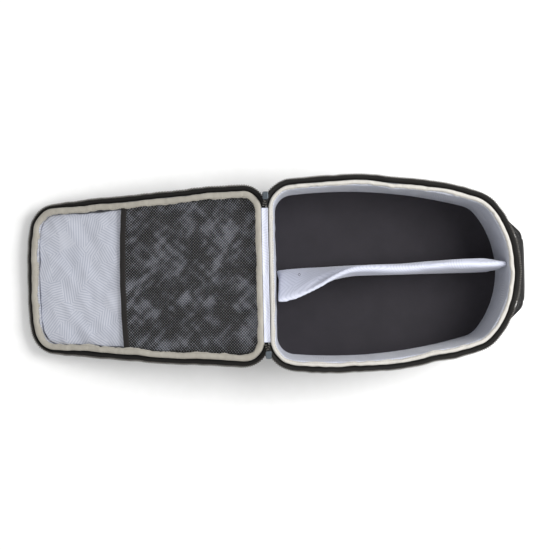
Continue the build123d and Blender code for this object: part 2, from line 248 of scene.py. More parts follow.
def panelPiece(line, inset, rings, columns, heightAt, thickness, wander=None):
    # a sheet filled in from an outline to its middle, then given its thickness downwards
    def flatSpot(u, v):
        more = wander(u % 1.0) if wander else 0.0
        middle = Vector((line["middle"].x, 0, 0))
        return lineAt(line, u, -inset - more, 0).lerp(middle, v ** 1.3)

    def placeAt(u, v):
        spot = flatSpot(u, v)
        spot.z = heightAt(spot.x, spot.y, v)
        return spot

    def uvAt(u, v):
        spot = flatSpot(u, v)
        return spot.x, spot.y

    bm = wrapGrid(columns, rings, placeAt, uvAt)
    if thickness:
        bmesh.ops.solidify(bm, geom=list(bm.faces), thickness=thickness)
    return bm


# Materials.

waveRepeat = 0.314   # a Wave texture of scale 1 repeats every 0.314 m
foldDepth = 4 * mm   # how deep the creases in the bump of a cloth are taken to be


def newMaterial(name):
    material = bpy.data.materials.new(name)
    material.use_nodes = True
    tree = material.node_tree
    tree.nodes.clear()
    output = addNode(tree, "ShaderNodeOutputMaterial")
    return material, tree, output


def clothMaterial(name, look, cad=False):
    # woven cloth: two crossed sets of threads in the bump, uneven dye in the colour, a little sheen
    material, tree, output = newMaterial(name)
    coords = addNode(tree, "ShaderNodeTexCoord")
    at = (coords, "Object" if cad else "UV")
    colour = patchColour(tree, at, look)
    thread = waveRepeat / look["thread"]
    warp = addNode(tree, "ShaderNodeTexWave", {"Scale": thread, "Distortion": 0.6, "Detail": 1.0},
                   {"Vector": at}, bands_direction="X")
    weft = addNode(tree, "ShaderNodeTexWave", {"Scale": thread, "Distortion": 0.6, "Detail": 1.0},
                   {"Vector": at}, bands_direction="Y")
    weave = addNode(tree, "ShaderNodeMath", {}, {0: (warp, "Fac"), 1: (weft, "Fac")}, operation="MULTIPLY")
    creases = addNode(tree, "ShaderNodeTexNoise", {"Scale": 1 / look["crease"], "Detail": 4.0}, {"Vector": at})
    fold = addNode(tree, "ShaderNodeBump", {"Strength": look["folds"], "Distance": foldDepth},
                   {"Height": (creases, "Fac")})
    bump = addNode(tree, "ShaderNodeBump", {"Strength": look["bump"], "Distance": look["thread"] * 0.4},
                   {"Height": (weave, "Value"), "Normal": (fold, "Normal")})
    shader = addNode(tree, "ShaderNodeBsdfPrincipled", {
        "Roughness": look["rough"], "Sheen Weight": look["sheen"], "Sheen Roughness": 0.45,
        "Specular IOR Level": look["gloss"]}, {"Base Color": colour, "Normal": (bump, "Normal")})
    tree.links.new(shader.outputs["BSDF"], output.inputs["Surface"])
    return material


def patchColour(tree, at, look):
    # dye that varies softly over the cloth, and on printed lining patches of fine parallel lines
    tone = addNode(tree, "ShaderNodeTexNoise", {"Scale": 1 / look["tone"], "Detail": 3.0}, {"Vector": at})
    colour = addNode(tree, "ShaderNodeMix", {6: linear(look["dark"]), 7: linear(look["light"])},
                     {"Factor": (tone, "Fac")}, data_type="RGBA")
    if "print" not in look:
        return colour, 2
    patches = addNode(tree, "ShaderNodeTexVoronoi", {"Scale": 1 / look["patch"], "Randomness": 1.0},
                      {"Vector": at}, voronoi_dimensions="2D")
    pick = addNode(tree, "ShaderNodeSeparateColor", {}, {"Color": (patches, "Color")})
    angle = addNode(tree, "ShaderNodeMath", {1: 2 * pi}, {0: (pick, "Red")}, operation="MULTIPLY")
    turned = addNode(tree, "ShaderNodeVectorRotate", {}, {"Vector": at, "Angle": (angle, "Value")},
                     rotation_type="Z_AXIS")
    lines = addNode(tree, "ShaderNodeTexWave", {"Scale": waveRepeat / look["pitch"]},
                    {"Vector": (turned, "Vector")}, bands_direction="X")
    sharp = addNode(tree, "ShaderNodeMapRange", {"From Min": 0.56, "From Max": 0.76},
                    {"Value": (lines, "Fac")})
    shown = addNode(tree, "ShaderNodeMapRange", {"From Min": 0.0, "From Max": 0.05},
                    {"Value": (pick, "Green")})
    mask = addNode(tree, "ShaderNodeMath", {}, {0: (sharp, "Result"), 1: (shown, "Result")},
                   operation="MULTIPLY")
    strength = addNode(tree, "ShaderNodeMath", {1: look["ink"]}, {0: (mask, "Value")}, operation="MULTIPLY")
    printed = addNode(tree, "ShaderNodeMix", {7: linear(look["print"])},
                      {"Factor": (strength, "Value"), 6: (colour, 2)}, data_type="RGBA")
    return printed, 2


# Heavy black polyester, plain woven from coarse filament yarn: matt with a faint grey sheen on its bulges.
outerLook = {"dark": "#0d0c0b", "light": "#171513", "tone": 30 * mm, "thread": 1.1 * mm, "crease": 34 * mm,
             "folds": 0.25, "bump": 0.35, "rough": 0.62, "sheen": 0.06, "gloss": 0.22}
outerPolyester = clothMaterial("wovenBlackPolyester", outerLook)
outerPolyesterCad = clothMaterial("wovenBlackPolyesterFlat", outerLook, cad=True)
# Smooth calendered lining, printed tone on tone with patches of hatching: pale, cool and slightly slick.
liningLook = {"dark": "#b4b7c2", "light": "#c3c5cd", "tone": 60 * mm, "thread": 0.9 * mm, "crease": 26 * mm,
              "folds": 0.22, "bump": 0.10, "rough": 0.55, "sheen": 0.25, "gloss": 0.4,
              "print": "#858da0", "patch": 27 * mm, "pitch": 3.6 * mm, "ink": 0.5}
printedLining = clothMaterial("printedPolyesterLining", liningLook)
printedLiningCad = clothMaterial("printedPolyesterLiningFlat", liningLook, cad=True)
# The divider and the hinge lining take a lighter copy of the same lining colour, with fainter print: painted
# light, for the stronger light that falls on them.
paintedLitLiningLook = {**liningLook, "dark": "#c4c7d6", "light": "#cfd2e0", "ink": 0.22}
paintedLitLining = clothMaterial("brightPolyesterLining", paintedLitLiningLook)
# Dark grey polyester on the floor: matt, with almost no sheen.
floorLook = {"dark": "#242226", "light": "#302d32", "tone": 45 * mm, "thread": 1.3 * mm, "crease": 40 * mm,
             "folds": 0.3, "bump": 0.3, "rough": 0.8, "sheen": 0.1, "gloss": 0.25}
floorPolyester = clothMaterial("wovenGreyPolyester", floorLook)
# Grosgrain binding: ribs across the tape, warm grey. On the lid its colour is painted darker than on the body,
# as painted shade, because the lid leans away from the light.
lidShadedBindingLook = {"dark": "#99948a", "light": "#aeaaa0", "tone": 22 * mm, "thread": 1.5 * mm, "crease": 9 * mm,
               "folds": 0.5, "bump": 0.4, "rough": 0.72, "sheen": 0.3, "gloss": 0.3}
shadedGrosgrainTape = clothMaterial("grosgrainBinding", lidShadedBindingLook)
# the same tape on the body, in its paler colour; the lid's copy above is the one darkened as painted shade
bodyBindingLook = {**lidShadedBindingLook, "dark": "#b4b1aa", "light": "#cac7c1"}
paleGrosgrainTape = clothMaterial("paleGrosgrainBinding", bodyBindingLook)
# Zipper tape: tightly woven black polyester with a herringbone too fine to see, slightly dusty.
tapeLook = {**outerLook, "dark": "#0c0b0a", "light": "#161412", "thread": 0.9 * mm, "sheen": 0.05}
zipperTape = clothMaterial("zipperTape", tapeLook)
# Ribbed elastic webbing, its rubber cords running along the band.
elasticLook = {**outerLook, "dark": "#1b1918", "light": "#262322", "thread": 1.6 * mm, "bump": 0.6,
               "rough": 0.7}
ribbedElastic = clothMaterial("ribbedElastic", elasticLook)
# Knitted nylon mesh: fine smooth yarn, so a little brighter along its ridges.
meshLook = {**outerLook, "dark": "#0f0e0c", "light": "#181613", "thread": 0.5 * mm, "rough": 0.5, "gloss": 0.35}
knittedMesh = clothMaterial("knittedNylonMesh", meshLook)
# Nylon webbing with a coarse diagonal face, and the smoother padded cloth round the grip.
webbingLook = {**outerLook, "dark": "#1b1a1a", "light": "#2b2a2a", "thread": 1.8 * mm, "bump": 0.7,
               "sheen": 0.3}
nylonWebbing = clothMaterial("nylonWebbing", webbingLook, cad=True)
gripLook = {**outerLook, "dark": "#222121", "light": "#333232", "thread": 1.2 * mm, "sheen": 0.45, "rough": 0.5}
paddedCloth = clothMaterial("paddedGripCloth", gripLook)
# Bonded polyester thread.
threadLook = {**tapeLook, "dark": "#8f8a80", "light": "#b5b0a4", "thread": 0.6 * mm}
paleThread = clothMaterial("paleThread", threadLook, cad=True)
darkThread = clothMaterial("darkThread", {**threadLook, "dark": "#2a2827", "light": "#3d3a38"}, cad=True)


def solidMaterial(name, look):
    # a moulded or cast surface: fine grain in the bump, slight unevenness in the colour and the gloss
    material, tree, output = newMaterial(name)
    coords = addNode(tree, "ShaderNodeTexCoord")
    at = (coords, "Object")
    tone = addNode(tree, "ShaderNodeTexNoise", {"Scale": 1 / look["tone"], "Detail": 4.0}, {"Vector": at})
    colour = addNode(tree, "ShaderNodeMix", {6: linear(look["dark"]), 7: linear(look["light"])},
                     {"Factor": (tone, "Fac")}, data_type="RGBA")
    grain = addNode(tree, "ShaderNodeTexNoise", {"Scale": 1 / look["grain"], "Detail": 2.0}, {"Vector": at})
    bump = addNode(tree, "ShaderNodeBump", {"Strength": look["bump"], "Distance": look["grain"] * 0.3},
                   {"Height": (grain, "Fac")})
    spread = {"To Min": look["rough"] - 0.06, "To Max": look["rough"] + 0.06}
    rough = addNode(tree, "ShaderNodeMapRange", spread, {"Value": (tone, "Fac")})
    shader = addNode(tree, "ShaderNodeBsdfPrincipled", {"Metallic": look["metal"]}, {
        "Base Color": (colour, 2), "Roughness": (rough, "Result"), "Normal": (bump, "Normal")})
    tree.links.new(shader.outputs["BSDF"], output.inputs["Surface"])
    return material


# Nylon coil, extruded monofilament: half gloss, nearly black; its colour is painted a lighter grey than that,
# as a painted highlight along the teeth.
nylonCoil = solidMaterial("nylonCoil", {"dark": "#3a3835", "light": "#65615b", "tone": 9 * mm,
                                        "grain": 0.6 * mm, "bump": 0.2, "rough": 0.42, "metal": 0.0})
# Zinc die casting with a gunmetal plating, worn brighter on its high places.
gunmetal = solidMaterial("gunmetalPlatedZinc", {"dark": "#3d4145", "light": "#6e767c", "tone": 5 * mm,
                                                "grain": 0.5 * mm, "bump": 0.15, "rough": 0.34, "metal": 1.0})
# Closed-cell foam, cut from sheet: fine open pores on its cut faces.
cellFoam = solidMaterial("closedCellFoam", {"dark": "#55565a", "light": "#6b6c70", "tone": 12 * mm,
                                            "grain": 1.2 * mm, "bump": 0.8, "rough": 0.9, "metal": 0.0})
# Foam-faced board, a grey sheet with a soft skin.
foamBoard = solidMaterial("foamFacedBoard", {"dark": "#4b4c4f", "light": "#5d5e62", "tone": 20 * mm,
                                             "grain": 2.0 * mm, "bump": 0.4, "rough": 0.85, "metal": 0.0})
# The named parts' own finishes; every other slot is the black outer cloth.
slotMaterials = {"lining_fabric": printedLiningCad, "foam": cellFoam, "board": foamBoard,
                 "zip_teeth": nylonCoil, "slider_metal": gunmetal, "webbing": nylonWebbing}
for subpart in frame["record"]["subparts"]:
    cadMesh = frame["nodes"][subpart["node"]].data
    cadMesh.materials.clear()
    cadMesh.materials.append(slotMaterials.get(subpart["material_slot"], outerPolyesterCad))
print("materials", len(bpy.data.materials))


# Rims: the binding, the zipper tape and its teeth share one slow waviness.

rimWave = {"sideways": 1.7 * mm, "upwards": 1.0 * mm, "features": 19, "fine": 0.75 * mm, "fineFeatures": 80,
           "mostOut": 0.9 * mm, "mostUp": 0.4 * mm}
lidEndLean = 4.6 * mm   # the lid's far wall leans outwards, because nothing holds it up


def endLean(line, u):
    return lidEndLean * smooth((0.155 - abs(u % 1.0 - 0.5)) / 0.06) if line is lidLine else 0.0


def waveAt(u, seed):
    # the rim is cloth over foam: it wanders, except at the hinge where it is held straight
    held = smooth((0.5 - abs(0.5 - u)) / 0.06 - 1.0)   # 0 at the hinge
    sideways = rimWave["sideways"] * roundNoise(u, rimWave["features"], seed) * 1.6
    sideways += rimWave["fine"] * roundNoise(u, rimWave["fineFeatures"], seed + 4)
    upwards = rimWave["upwards"] * roundNoise(u, rimWave["features"], seed + 9) * 1.5
    return held * min(sideways, rimWave["mostOut"]), held * min(upwards, rimWave["mostUp"])


puckers = {"pitch": 6.5 * mm, "depth": 0.8 * mm}   # where the stitching gathers the tape


def bindingPiece(line, rim, width, name, material, seed, body, node, place):
    # folded tape over the raw edge
    start = -0.6 * mm
    profile = [(start, rim - 5.2 * mm), (start, rim - 2.6 * mm), (start - 0.5 * mm, rim - 1.0 * mm),
               (start - 0.25 * width, rim - 0.1 * mm), (start - 0.5 * width, rim),
               (start - 0.75 * width, rim - 0.3 * mm), (start - 0.95 * width, rim - 1.3 * mm),
               (start - width, rim - 3.0 * mm), (start - width + 0.2 * mm, rim - 5.6 * mm),
               (start - 0.5 * width, rim - 5.9 * mm)]
    features = line["length"] / puckers["pitch"]

    def nudge(u, out, up):
        sideways, upwards = waveAt(u, seed)
        inward = smooth((start - out) / width)
        pucker = roundNoise(u, features, seed + 20) * puckers["depth"]
        pucker += roundNoise(u, features / 3, seed + 30) * puckers["depth"] * 1.2
        sideways += endLean(line, u)
        return sideways + pucker * inward * 1.6, upwards + pucker * (0.5 + 0.5 * inward) - 0.5 * mm

    bm = ringPiece(line, profile, 840, nudge)
    finishPiece(bm, name, material, body, [node], place)


bodySeed, lidSeed = 3.0, 11.0   # each rim keeps one wave for its binding, tape, teeth and stitches
bindingPiece(bodyLine, bodyRim + 0.4 * mm, 5.9 * mm, "bodyBinding", paleGrosgrainTape, bodySeed, "body",
             "rim_binding", flat)
bindingPiece(lidLine, lidHeights["rim"] + 0.4 * mm, 9.2 * mm, "lidBinding", shadedGrosgrainTape, lidSeed,
             "lid", "lid_binding", lidPlace)
print("bindings done")

zipper = {"flare": 7.4 * mm, "rise": 2.6 * mm, "thick": 0.8 * mm, "pitch": 2.3 * mm, "below": 4.0 * mm,
          "tooth": (2.9 * mm, 1.35 * mm, 1.9 * mm), "clear": 3 * mm}


def tapePieces(line, rim, seed, side, body, tapeNode, teethNode, place):
    # the tape leaves the wall below the binding and leans out; its coil runs along the free edge
    top = rim - zipper["below"]
    flare, rise, thick = zipper["flare"], zipper["rise"], zipper["thick"]
    profile = [(0.1 * mm, top - 9 * mm), (0.9 * mm, top - 9 * mm), (1.0 * mm, top - 3 * mm),
               (1.8 * mm, top - 0.6 * mm), (3.8 * mm, top + 1.2 * mm), (flare, top + rise - thick),
               (flare, top + rise), (3.6 * mm, top + 2.1 * mm), (1.2 * mm, top + 0.7 * mm),
               (0.1 * mm, top - 1.5 * mm)]

    def nudge(u, out, up):
        sideways, upwards = waveAt(u, seed)
        free = smooth(out / flare)
        curl = roundNoise(u, 60, seed + 50)
        sideways += endLean(line, u) * (1 - 0.75 * free) / 0.7
        return (sideways * 0.7 + free * (curl * 0.7 - 0.2) * mm,
                upwards * free + free * roundNoise(u, 45, seed + 60) * 0.9 * mm)

    tape = ringPiece(line, profile, 840, nudge)
    # the track is open at the hinge, between the two sliders
    middle = lineAt(line, 0, 0, 0)
    gone = [v for v in tape.verts if v.co.x < middle.x + 12 * mm and abs(v.co.y) < heelHalf + zipper["clear"]]
    bmesh.ops.delete(tape, geom=gone, context="VERTS")
    loose = [e for e in tape.edges if e.is_boundary]
    bmesh.ops.holes_fill(tape, edges=loose, sides=40)
    finishPiece(tape, side + "ZipperTape", zipperTape, body, [tapeNode], place)

    teeth = bmesh.new()
    count = round(line["length"] / zipper["pitch"])
    for i in range(count):
        u = (i + 0.5) / count
        moreOut, moreUp = nudge(u, flare, top)
        centre = lineAt(line, u, flare - 0.1 * mm + moreOut, top + rise + 0.2 * mm + moreUp)
        if centre.x < middle.x + 10 * mm and abs(centre.y) < heelHalf + zipper["clear"]:
            continue
        ahead = lineAt(line, u + 0.0005, flare + moreOut, 0) - lineAt(line, u - 0.0005, flare + moreOut, 0)
        turn = Matrix.Translation(centre) @ Matrix.Rotation(atan2(ahead.y, ahead.x) - pi / 2, 4, "Z")
        size = Matrix.Diagonal((*zipper["tooth"], 1.0))
        bmesh.ops.create_cube(teeth, size=1.0, matrix=turn @ size)
    bmesh.ops.bevel(teeth, geom=teeth.edges[:], offset=0.45 * mm, affect="EDGES", segments=1, profile=0.5,
                    material=-1)
    finishPiece(teeth, side + "ZipperTeeth", nylonCoil, body, [teethNode], place)


tapePieces(bodyLine, bodyRim, bodySeed, "body", "body", "body_zip_tape", "body_zip_teeth", flat)
tapePieces(lidLine, lidHeights["rim"], lidSeed, "lid", "lid", "lid_zip_tape", "lid_zip_teeth", lidPlace)
print("zipper done")


# Body: outer wall, lining and floor.

shellLook = {"bulge": 4.6 * mm, "heelBulge": 1.2 * mm, "thick": 1.3 * mm, "rows": 22, "base": 2.6 * mm,
             "broad": 1.8 * mm, "creases": 1.5 * mm, "sharp": 1.8 * mm}


def wallSwell(u, h):
    # how far the loose wall stands out, h from 0 at the base seam to 1 at the zipper tape
    held = max(heelness(u), smooth((0.21 - abs(u - 0.5)) / 0.05))   # flatter behind the hinge and the handle
    bulge = shellLook["bulge"] * (1 - held) + shellLook["heelBulge"] * held * (1 - smooth(held * 9 - 8) * 0.4)
    swell = sin(pi * min(h * 1.06, 1.0)) ** 0.7 * bulge
    creases = roundNoise(u, 26, 40 + h * 1.3) * shellLook["creases"]
    creases += roundNoise(u, 9, 60 + h * 0.8) * shellLook["broad"]
    creases -= abs(roundNoise(u, 44, 64 + h * 3.5)) * shellLook["sharp"]
    return swell + creases * sin(pi * h) * (1 - 0.85 * held)


def bodyShell():
    # one bulging wall of cloth from the base piping up to the zipper tape, loose between its seams
    wallTop = bodyRim - 6 * mm
    rows = shellLook["rows"]
    heights = [shellLook["base"] + (wallTop - shellLook["base"]) * i / rows for i in range(rows + 1)]
    profile = [(0.0, h) for h in heights] + [(-shellLook["thick"], h) for h in reversed(heights)]

    def nudge(u, out, up):
        return wallSwell(u, (up - heights[0]) / (heights[-1] - heights[0])), 0.0

    bm = ringPiece(bodyLine, profile, 480, nudge)
    finishPiece(bm, "bodyOuterWall", outerPolyester, "body", ["side_gusset", "heel_wall"])


bodyShell()

wallInset = 6.7 * mm
wallLiningLook = {"lean": 1.6 * mm, "waves": 1.5 * mm, "foot": 1.5 * mm}


def bodyLining():
    # the side lining hangs from the binding, swells over its padding and turns in at the floor
    top, foot = bodyRim - 3.5 * mm, floorTop + 0.3 * mm
    rows = 20
    profile = [(1.5 * mm - wallInset, top + 0.3 * mm)]
    for i in range(rows + 1):
        h = i / rows
        inward = 0.4 * mm + wallLiningLook["lean"] * sin(pi * min(h * 1.3, 1) * 0.5)
        inward += wallLiningLook["foot"] * max(0.0, (h - 0.86) / 0.14) ** 2
        profile.append((-wallInset - inward, top + (foot - top) * smooth(h) ** 0.9))
    back = [(out + 0.7 * mm, up + 0.1 * mm) for out, up in reversed(profile)]

    def nudge(u, out, up):
        h = (top - up) / (top - foot)
        wave = roundNoise(u, 30, 70 + h * 1.1) + 0.6 * roundNoise(u, 75, 80 + h * 1.5)
        inward = (wave + 0.5) * wallLiningLook["waves"] * sin(pi * min(max(h, 0.0), 1.0)) ** 0.6
        sideways = waveAt(u, bodySeed)[0] * (1 - smooth(h * 3))
        if up < top:
            sideways = min(sideways, 0.0)   # the foam behind it stops it going outwards
        return sideways - max(inward, -0.5 * mm), 0.0

    bm = ringPiece(bodyLine, profile + back, 600, nudge)
    finishPiece(bm, "bodySideLining", printedLining, "body", ["wall_lining"])


bodyLining()


def floorHeight(x, y, v):
    dip = noise.noise(Vector((x * 22, y * 22, 3.0))) * 0.5 + noise.noise(Vector((x * 60, y * 60, 8.0))) * 0.15
    return floorTop + (1.5 + dip * smooth(v * 6)) * mm


floorPanel = panelPiece(bodyLine, 7.2 * mm, 60, 240, floorHeight, 0.8 * mm)
finishPiece(floorPanel, "bodyFloor", floorPolyester, "body", ["floor_lining", "divider_flange"])
print("body done")


# Lid: outer shell, lining, mesh pocket and its elastic.

lidLook = {"crown": 3.4 * mm, "bulge": 1.8 * mm, "thick": 1.3 * mm, "puff": 2.6 * mm, "fuller": 4.2 * mm,
           "wrinkle": 1.5 * mm, "edgeWave": 2.0 * mm}
elasticBox = spotsOf("pocket_elastic", lidPlace)
elasticEnds = min(p.x for p in elasticBox), max(p.x for p in elasticBox)
pocketMouth = sum(elasticEnds) / 2


def lidShell():
    base, top = lidHeights["outside"] + 2.4 * mm, lidHeights["rim"] - 6 * mm
    rows = 8
    heights = [base + (top - base) * i / rows for i in range(rows + 1)]
    profile = [(0.0, h) for h in heights] + [(-lidLook["thick"], h) for h in reversed(heights)]

    def nudge(u, out, up):
        h = (up - base) / (top - base)
        swell = sin(pi * h) * (lidLook["bulge"] + roundNoise(u, 24, 90 + h) * 1.2 * mm)
        return swell * (1 - 0.8 * heelness(u)) + endLean(lidLine, u) * h, 0.0

    finishPiece(ringPiece(lidLine, profile, 420, nudge), "lidOuterBand", outerPolyester, "lid",
                ["lid_band"], lidPlace)

    def crownAt(x, y, v):
        away = smooth((0.344 - x) / 0.08)   # flat where the lid's end rests
        ripple = noise.noise(Vector((x * 15, y * 15, 5.0))) * 1.0 * mm
        return lidHeights["outside"] + 0.2 * mm - smooth(v * 1.6) * away * (lidLook["crown"] + ripple)

    panel = panelPiece(lidLine, 2.0 * mm, 50, 240, crownAt, -lidLook["thick"])
    finishPiece(panel, "lidOuterPanel", outerPolyester, "lid", ["lid_panel"], lidPlace)


lidShell()


def lidLiningHeight(x, y, v):
    # the lining is a soft panel: low beside the binding, puffed over its foam elsewhere
    low = lidHeights["lining"] - 0.5 * mm
    # pressed down under the net, full beyond its mouth
    free = smooth((x - pocketMouth + 12 * mm) / (30 * mm))
    puff = smooth(v / 0.05) * (lidLook["puff"] + free * lidLook["fuller"])
    wrinkle = noise.noise(Vector((x * 28, y * 28, 1.0))) + 0.5 * noise.noise(Vector((x * 75, y * 60, 2.0)))
    ridge = abs(noise.noise(Vector((x * 30 + y * 24, y * 9 - x * 8, 4.0))))
    soft = (wrinkle - ridge * 1.4) * lidLook["wrinkle"] * smooth(v * 16)
    return low + puff * (0.9 + 0.1 * smooth(v * 3)) + soft


def liningWander(u):
    wave = roundNoise(u, 34, 21.0) + 0.7 * roundNoise(u, 90, 22.0)
    return wave * lidLook["edgeWave"] - endLean(lidLine, u)


lidLining = finishPiece(panelPiece(lidLine, 9.3 * mm, 80, 560, lidLiningHeight, 0.7 * mm, liningWander),
                        "lidLining", printedLining, "lid", ["lid_lining"], lidPlace)
print("lid done")


def settledCloth(piece, frames, pressure=0.0, shrink=0.0, stiff=15.0, weight=1.0):
    # run Cloth on a piece and give back its settled mesh; the modifier doesn't stay
    scene = bpy.context.scene
    cloth = piece.modifiers.new("settle", "CLOTH")
    cloth.settings.quality = 5
    cloth.settings.mass = 0.2
    cloth.settings.tension_stiffness = stiff
    cloth.settings.compression_stiffness = stiff
    cloth.settings.shear_stiffness = stiff * 0.4
    cloth.settings.bending_stiffness = 0.3
    cloth.settings.shrink_min = shrink
    cloth.settings.vertex_group_mass = "held"
    cloth.settings.use_pressure = pressure > 0
    cloth.settings.uniform_pressure_force = pressure
    cloth.settings.effector_weights.gravity = weight
    cloth.collision_settings.use_collision = False
    cloth.collision_settings.use_self_collision = False
    cloth.point_cache.frame_start = 1
    cloth.point_cache.frame_end = frames
    for step in range(1, frames + 1):
        scene.frame_set(step)
    graph = bpy.context.evaluated_depsgraph_get()
    settled = bpy.data.meshes.new_from_object(piece.evaluated_get(graph))
    scene.frame_set(1)
    piece.modifiers.clear()
    return settled


def halfWidthAt(line, inset):
    # half the width inside an outline, at a distance along it
    spots = sorted((p.x, p.y) for p in (lineAt(line, i / 1440, -inset, 0) for i in range(1440)) if p.y > 0)

    def at(x):
        if not spots[0][0] < x < spots[-1][0]:
            return 0.0
        return max(y for spotX, y in spots if abs(spotX - x) < 0.9 * mm)
    return at


pocketLook = {"pitch": 2.9 * mm, "hole": 0.66, "yarn": 0.3 * mm, "slack": -0.05, "bow": 4.2 * mm,
              "deepest": 3.9 * mm, "highest": 2.6 * mm, "folds": 1.6 * mm, "spare": 1.05, "shut": 0.75}
# The pitch is coarser than such a net's own, so that its holes show.
widestAt = 0.1   # metres from the hinge, where the lid is at its widest
pocketWidth = halfWidthAt(lidLine, 5.5 * mm)
pocketStart = lineAt(lidLine, 0, -5.5 * mm, 0).x


def mouthBow(y):
    return pocketLook["bow"] * (1 - min(abs(y) / pocketWidth(pocketMouth), 1.0) ** 2)


def slackNet():
    # a plain sheet with spare cloth, held at three seams and the elastic, lets its folds form
    bm = bmesh.new()
    bmesh.ops.create_grid(bm, x_segments=64, y_segments=56, size=0.5)
    length = pocketMouth + 6 * mm - pocketStart
    for vert in bm.verts:
        x, y = pocketStart + (vert.co.x + 0.5) * length, vert.co.y * 2 * (pocketWidth(widestAt) + 8 * mm)
        ripple = noise.noise(Vector((x * 40 + y * 40, (x - y) * 14, 6.0))) * 1.2 * mm
        vert.co = Vector((x, y, lidHeights["mesh"] + ripple))
    mesh = bpy.data.meshes.new("slackNet")
    bm.to_mesh(mesh)
    bm.free()
    sheet = bpy.data.objects.new("slackNet", mesh)
    bpy.context.scene.collection.objects.link(sheet)
    held = sheet.vertex_groups.new(name="held")
    held.add([v.index for v in mesh.vertices if abs(v.co.y) > pocketWidth(v.co.x) - 5 * mm
              or v.co.x < pocketStart + 6 * mm or v.co.x > pocketMouth], 1.0, "REPLACE")
    settled = settledCloth(sheet, 34, shrink=pocketLook["slack"], stiff=6.0, weight=0.12)
    surface = bmesh.new()
    surface.from_mesh(settled)
    tree = BVHTree.FromBMesh(surface)
    surface.free()
    bpy.data.objects.remove(sheet)
    return tree


def foldAt(spot):
    # the net's slack lies in long diagonal folds, from -1 in a hollow to 1 on a crest
    across = noise.noise(Vector(((spot.x + spot.y) * 30, (spot.x - spot.y) * 110, 11.0)))
    other = noise.noise(Vector(((spot.x + spot.y) * 105 + 4, (spot.x - spot.y) * 30, 15.0)))
    broad = noise.noise(Vector((spot.x * 24, spot.y * 24, 19.0)))
    return max(-1.0, min(1.0, across * 1.0 + other * 0.8 + broad * 0.7))


def openness(spot):
    # knitted loops pull shut where the net is slack and open where a fold stretches them
    return 0.62 + 0.42 * smooth((foldAt(spot) + 0.5) / 1.4)


def pocketNet():
    # knitted net: square meshes set on the diagonal, opened by an inset, laid over the slack sheet
    tree = slackNet()
    level = lidHeights["mesh"]
    bm = bmesh.new()
    reach = 160 * mm   # half the side of the uncut net
    cells = ceil(2 * reach / pocketLook["pitch"])
    bmesh.ops.create_grid(bm, x_segments=cells, y_segments=cells, size=reach)
    middle = Vector(((pocketStart + pocketMouth) / 2, 0, 0))
    bmesh.ops.transform(bm, matrix=Matrix.Translation(middle) @ Matrix.Rotation(pi / 4, 4, "Z"), verts=bm.verts)
    outside = []
    for face in bm.faces:
        spot = face.calc_center_median()
        if abs(spot.y) > pocketWidth(spot.x) or spot.x > pocketMouth + mouthBow(spot.y):
            outside.append(face)
    bmesh.ops.delete(bm, geom=outside, context="FACES")
    rib = pocketLook["pitch"] * (1 - pocketLook["hole"]) / 2
    ribs = set(bmesh.ops.inset_individual(bm, faces=bm.faces, depth=0.0, thickness=rib)["faces"])
    holes = [face for face in bm.faces if face not in ribs]
    for hole in holes:
        spot = hole.calc_center_median()
        share = openness(spot)
        for vert in hole.verts:
            vert.co = spot.lerp(vert.co, share)
    bmesh.ops.delete(bm, geom=holes, context="FACES")
    for vert in bm.verts:
        hit = tree.ray_cast(Vector((vert.co.x, vert.co.y, 0.1)), Vector((0, 0, -1)))[0]
        sag = (hit.z if hit else level) - level + foldAt(vert.co) * pocketLook["folds"]
        vert.co.z = level + min(max(sag, -pocketLook["deepest"]), pocketLook["highest"])
    layFlat(bm, lambda spot: spot.xy)
    bmesh.ops.solidify(bm, geom=list(bm.faces), thickness=pocketLook["yarn"])
    net = finishPiece(bm, "meshPocket", knittedMesh, "lid", ["mesh_pocket"], lidPlace)
    width, length = 2 * pocketWidth(widestAt), (pocketMouth - pocketStart) * pocketLook["spare"]


pocketNet()


elasticLift = {"thick": 1.3 * mm, "clear": 0.8 * mm, "roll": 0.6 * mm, "wave": 0.9 * mm, "seam": 1.35 * mm}


def mouthWave(y):
    return noise.noise(Vector((y * 45, 2.0, 3.0))) * elasticLift["wave"]


def mouthElastic():
    # a band of elastic along the pocket's mouth, bowed towards the lid's far end
    bm = bmesh.new()
    bmesh.ops.create_grid(bm, x_segments=6, y_segments=90, size=0.5)
    start, end = elasticEnds
    for vert in bm.verts:
        across, along = vert.co.x + 0.5, vert.co.y * 2
        x = start + (end - start) * across
        y = along * (pocketWidth(x) - 1.0 * mm)
        wave = mouthWave(y)
        roll = (1 - (across * 2 - 1) ** 2) * elasticLift["roll"]
        height = lidHeights["mesh"] + elasticLift["clear"] + wave + roll
        vert.co = Vector((x + mouthBow(y) + wave * 0.5, y, height))
    layFlat(bm, lambda spot: spot.xy)
    bmesh.ops.solidify(bm, geom=list(bm.faces), thickness=elasticLift["thick"])
    finishPiece(bm, "pocketElastic", ribbedElastic, "lid", ["pocket_elastic"], lidPlace)


mouthElastic()
print("pocket done")


# Hinge: the lining and the outer strip lie between the two rims.

hingeLook = {"crease": 0.7 * mm, "sag": 1.0 * mm, "lining": 0.8 * mm, "strip": 1.1 * mm}


